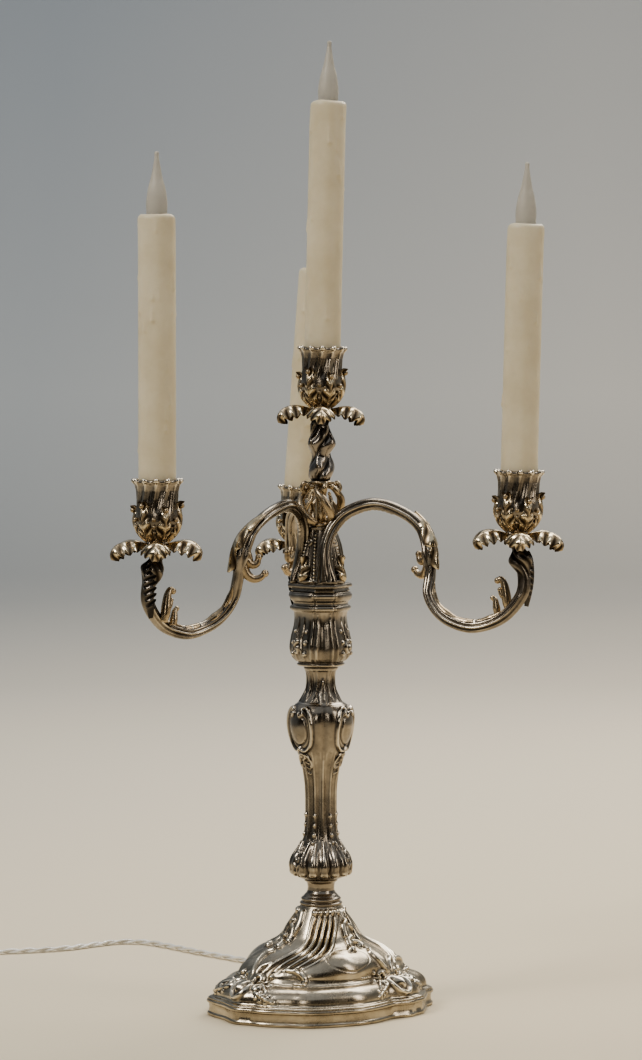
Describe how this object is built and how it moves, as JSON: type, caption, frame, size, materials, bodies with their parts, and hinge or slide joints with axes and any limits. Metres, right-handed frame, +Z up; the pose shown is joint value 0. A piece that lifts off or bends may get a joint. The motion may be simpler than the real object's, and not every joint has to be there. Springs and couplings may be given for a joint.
{
  "type": "electrified candelabra",
  "caption": "Baluster candlestick with a lobed foot and a branch unit of scrolled arms, carrying wax-look candle sleeves with flame-shaped bulbs and a coiled twisted mains cord.",
  "frame": {"origin": "centre of the foot's underside, on the surface it stands on", "axes": "+Z up along the stem, +X to the right and +Y to the back as seen from the front"},
  "size_m": [0.4483, 0.3442, 0.5924],
  "materials": {
    "silvered_metal": "silver plate over brass, polished, with warm brown tarnish in the recesses",
    "dark_silver": "silver plate with dark tarnish",
    "gilt_silver": "silver plate worn to a warm golden tone",
    "fittings_brass": "plain turned brass, dull",
    "wax_sleeve": "ivory wax-look resin, satin, with raised drips",
    "holder_ceramic": "matt moulded lampholder",
    "bulb_glass": "frosted glass",
    "cord_pvc": "clear insulation over pale strands, twisted pair",
    "lead_pvc": "pale insulated wire",
    "relief_rubber": "pale moulded strain relief",
    "plug_plastic": "smooth moulded plug, off-white",
    "pin_metal": "nickel-plated contact pins",
    "tie_plastic": "flat hook-and-loop tie",
    "felt": "short dark green felt"
  },
  "bodies": {
    "candelabra": {"foot_border": "silvered_metal", "foot_dome": "silvered_metal", "felt_pad": "felt", "cord_bushing": "relief_rubber", "foot_neck": "silvered_metal", "stem": "silvered_metal", "socket_vase": "silvered_metal", "tie_pipe": "fittings_brass", "pipe_nuts": "fittings_brass", "main_lead": "cord_pvc", "wire_splices": "holder_ceramic", "branch_collar": "silvered_metal", "branch_housing": "silvered_metal", "scroll_cage": "gilt_silver", "twist_stem": "dark_silver", "arm_1": "silvered_metal", "arm_2": "silvered_metal", "arm_3": "silvered_metal", "pan_0": "gilt_silver", "pan_1": "gilt_silver", "pan_2": "gilt_silver", "pan_3": "gilt_silver", "nozzle_0": "silvered_metal", "nozzle_1": "silvered_metal", "nozzle_2": "silvered_metal", "nozzle_3": "silvered_metal", "lamp_stem_0": "fittings_brass", "lamp_stem_1": "fittings_brass", "lamp_stem_2": "fittings_brass", "lamp_stem_3": "fittings_brass", "holder_0": "holder_ceramic", "holder_1": "holder_ceramic", "holder_2": "holder_ceramic", "holder_3": "holder_ceramic", "lead_0": "lead_pvc", "lead_1": "lead_pvc", "lead_2": "lead_pvc", "lead_3": "lead_pvc", "cord_tube": "cord_pvc", "cord_coil": "cord_pvc", "coil_tie": "tie_plastic", "plug_body": "plug_plastic", "plug_pins": "pin_metal"},
    "sleeve_0": {"sleeve_0": "wax_sleeve"},
    "cap_0": {"cap_0": "fittings_brass"},
    "bulb_0": {"bulb_0": "bulb_glass"},
    "sleeve_1": {"sleeve_1": "wax_sleeve"},
    "cap_1": {"cap_1": "fittings_brass"},
    "bulb_1": {"bulb_1": "bulb_glass"},
    "sleeve_2": {"sleeve_2": "wax_sleeve"},
    "cap_2": {"cap_2": "fittings_brass"},
    "bulb_2": {"bulb_2": "bulb_glass"},
    "sleeve_3": {"sleeve_3": "wax_sleeve"},
    "cap_3": {"cap_3": "fittings_brass"},
    "bulb_3": {"bulb_3": "bulb_glass"}
  },
  "joints": [
    {"name": "sleeve_lift_0", "type": "slide", "parent": "candelabra", "child": "sleeve_0", "axis": [0.0227, 0, 0.9997], "range_m": [0, 0.215]},
    {"name": "cap_rise_0", "type": "slide", "parent": "candelabra", "child": "cap_0", "axis": [0.0227, 0, 0.9997], "range_m": [0, 0.0091]},
    {"name": "bulb_turn_0", "type": "hinge", "parent": "cap_0", "child": "bulb_0", "pos_m": [0.00404, 0, 0.54345], "axis": [0.0227, 0, 0.9997], "range_deg": [0, 1800]},
    {"name": "sleeve_lift_1", "type": "slide", "parent": "candelabra", "child": "sleeve_1", "axis": [0.0244, 0, 0.9997], "range_m": [0, 0.215]},
    {"name": "cap_rise_1", "type": "slide", "parent": "candelabra", "child": "cap_1", "axis": [0.0244, 0, 0.9997], "range_m": [0, 0.0091]},
    {"name": "bulb_turn_1", "type": "hinge", "parent": "cap_1", "child": "bulb_1", "pos_m": [0.12128, -0.046, 0.46595], "axis": [0.0244, 0, 0.9997], "range_deg": [0, 1800]},
    {"name": "sleeve_lift_2", "type": "slide", "parent": "candelabra", "child": "sleeve_2", "axis": [0.0698, 0, 0.9976], "range_m": [0, 0.215]},
    {"name": "cap_rise_2", "type": "slide", "parent": "candelabra", "child": "cap_2", "axis": [0.0698, 0, 0.9976], "range_m": [0, 0.0091]},
    {"name": "bulb_turn_2", "type": "hinge", "parent": "cap_2", "child": "bulb_2", "pos_m": [-0.00407, 0.13, 0.44858], "axis": [0.0698, 0, 0.9976], "range_deg": [0, 1800]},
    {"name": "sleeve_lift_3", "type": "slide", "parent": "candelabra", "child": "sleeve_3", "axis": [0, 0, 1], "range_m": [0, 0.215]},
    {"name": "cap_rise_3", "type": "slide", "parent": "candelabra", "child": "cap_3", "axis": [0, 0, 1], "range_m": [0, 0.0091]},
    {"name": "bulb_turn_3", "type": "hinge", "parent": "cap_3", "child": "bulb_3", "pos_m": [-0.0955, -0.0825, 0.469], "axis": [0, 0, 1], "range_deg": [0, 1800]}
  ],
  "couplings": [
    {"joint": "bulb_turn_0", "follows": "cap_rise_0", "rad_per_m": 3452.3},
    {"joint": "bulb_turn_1", "follows": "cap_rise_1", "rad_per_m": 3452.3},
    {"joint": "bulb_turn_2", "follows": "cap_rise_2", "rad_per_m": 3452.3},
    {"joint": "bulb_turn_3", "follows": "cap_rise_3", "rad_per_m": 3452.3}
  ]
}
